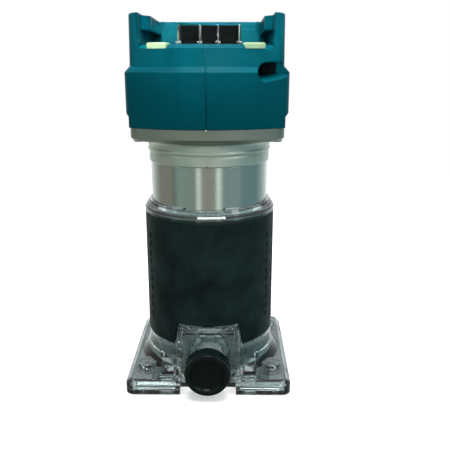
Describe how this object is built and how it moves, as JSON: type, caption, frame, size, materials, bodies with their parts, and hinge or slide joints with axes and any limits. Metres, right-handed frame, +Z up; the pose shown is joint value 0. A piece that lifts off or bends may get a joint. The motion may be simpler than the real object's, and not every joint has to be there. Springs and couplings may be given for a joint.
{
  "type": "trim router",
  "caption": "Compact cordless trim router: motor unit with slide-battery bay, clamped and height-adjusted in a clear square trimming base with rubber grip and guide knob.",
  "frame": {"origin": "centre of the bit opening on the spindle axis, at the underside of the sole plate", "axes": "+Z up along the spindle axis, -Y towards the battery opening and guide clamp knob (the face with the battery bay mouth), +Y towards the switches and clamp lever, +X to the right seen from -Y"},
  "size_m": [0.0906, 0.101, 0.1986],
  "materials": {
    "clear_plastic": "clear moulded, polished",
    "grip_rubber": "fine matt texture",
    "black_plastic": "satin moulded",
    "teal_plastic": "fine-grained moulded",
    "bumper_rubber": "soft satin",
    "bare_aluminium": "drawn and turned",
    "cast_silver": "cast, silver lacquer",
    "black_steel": "black oxide",
    "zinc_steel": "zinc plated",
    "ground_steel": "ground",
    "nickel": "nickel plated",
    "lamination_steel": "stacked laminations",
    "copper_winding": "enamelled wire",
    "magnet": "sintered",
    "circuit_board": "lacquered laminate",
    "lead_insulation": "silicone insulation",
    "frosted_lens": "frosted"
  },
  "bodies": {
    "base": {"trimmer_base": "clear_plastic", "sole_plate": "clear_plastic", "sole_screws": "black_steel", "grip_sleeve": "grip_rubber", "guide_nut": "zinc_steel", "clamp_bolt": "black_steel", "clamp_nut": "zinc_steel"},
    "motor_unit": {"motor_barrel": "bare_aluminium", "motor_bracket": "cast_silver", "flange_screws": "black_steel", "led_lenses": "frosted_lens", "bearing_bridge": "cast_silver", "lower_bearing_outer_race": "ground_steel", "upper_bearing_outer_race": "ground_steel", "bearing_retainer": "zinc_steel", "stator_core": "lamination_steel", "stator_windings": "copper_winding", "stator_end_rings": "black_plastic", "sensor_board": "circuit_board", "motor_leads": "lead_insulation", "height_rack": "ground_steel", "housing_left": "teal_plastic", "housing_right": "teal_plastic", "housing_screws": "black_steel", "terminal_block": "black_plastic", "terminal_blades": "nickel", "bumpers": "bumper_rubber", "controller_tray": "black_plastic", "controller_board": "circuit_board", "battery_leads": "lead_insulation", "dial_potentiometer": "black_plastic", "switch_board": "circuit_board"},
    "pinion": {"pinion_shaft": "ground_steel", "pinion_clip": "ground_steel", "adjuster_knob": "black_plastic"},
    "spindle_group": {"spindle": "ground_steel", "rotor_core": "lamination_steel", "rotor_magnets": "magnet", "cooling_fan": "black_plastic", "lower_bearing_inner_race": "ground_steel", "lower_bearing_balls": "ground_steel", "upper_bearing_inner_race": "ground_steel", "upper_bearing_balls": "ground_steel"},
    "collet_group": {"collet": "ground_steel"},
    "nut": {"collet_nut": "black_steel"},
    "lock_pin": {"spindle_lock": "black_plastic"},
    "washer": {"clamp_washer": "zinc_steel"},
    "knob": {"guide_knob": "black_plastic", "guide_screw": "zinc_steel"},
    "lever": {"clamp_lever": "black_plastic"},
    "dial": {"speed_dial": "black_plastic"},
    "power": {"power_button": "black_plastic"},
    "lock_switch": {"lock_button": "black_plastic"}
  },
  "joints": [
    {"name": "motor_slide", "type": "slide", "parent": "base", "child": "motor_unit", "axis": [0, 0, 1], "range_m": [-0.02, 0.015]},
    {"name": "pinion_turn", "type": "hinge", "parent": "base", "child": "pinion", "pos_m": [0, 0.0396, 0.08], "axis": [1, 0, 0], "range_deg": [-145, 192]},
    {"name": "spindle_spin", "type": "hinge", "parent": "motor_unit", "child": "spindle_group", "pos_m": [0, 0, 0.09], "axis": [0, 0, 1], "continuous": true},
    {"name": "collet_slide", "type": "slide", "parent": "spindle_group", "child": "collet_group", "axis": [0, 0, 1], "range_m": [-0.003, 0]},
    {"name": "collet_nut_turn", "type": "hinge", "parent": "collet_group", "child": "nut", "pos_m": [0, 0, 0.03], "axis": [0, 0, 1], "range_deg": [-721, 1]},
    {"name": "spindle_lock_press", "type": "slide", "parent": "motor_unit", "child": "lock_pin", "axis": [0, -1, 0], "range_m": [0, 0.0022], "stiffness_N_per_m": 800, "springref_m": -0.002},
    {"name": "washer_slide", "type": "slide", "parent": "base", "child": "washer", "axis": [0, 1, 0], "range_m": [-0.003, 0.00287]},
    {"name": "guide_knob_turn", "type": "hinge", "parent": "washer", "child": "knob", "pos_m": [0, -0.0476, 0.0159], "axis": [0, 1, 0], "range_deg": [-1081, 1036]},
    {"name": "clamp_lever_turn", "type": "hinge", "parent": "base", "child": "lever", "pos_m": [-0.0143, 0.041, 0.052], "axis": [-1, 0, 0], "range_deg": [0, 100]},
    {"name": "speed_dial_turn", "type": "hinge", "parent": "motor_unit", "child": "dial", "pos_m": [0.0275, -0.019, 0.172], "axis": [0, 0, 1], "range_deg": [-135, 135]},
    {"name": "power_button_press", "type": "slide", "parent": "motor_unit", "child": "power", "axis": [0, -1, 0], "range_m": [0, 0.0012], "stiffness_N_per_m": 900, "springref_m": -0.0015},
    {"name": "lock_button_press", "type": "slide", "parent": "motor_unit", "child": "lock_switch", "axis": [0, -1, 0], "range_m": [0, 0.0012], "stiffness_N_per_m": 900, "springref_m": -0.0015}
  ],
  "couplings": [
    {"joint": "pinion_turn", "follows": "motor_slide", "rad_per_m": -166.67},
    {"joint": "collet_nut_turn", "follows": "collet_slide", "rad_per_m": 4188.8},
    {"joint": "guide_knob_turn", "follows": "washer_slide", "rad_per_m": 6283.2}
  ]
}
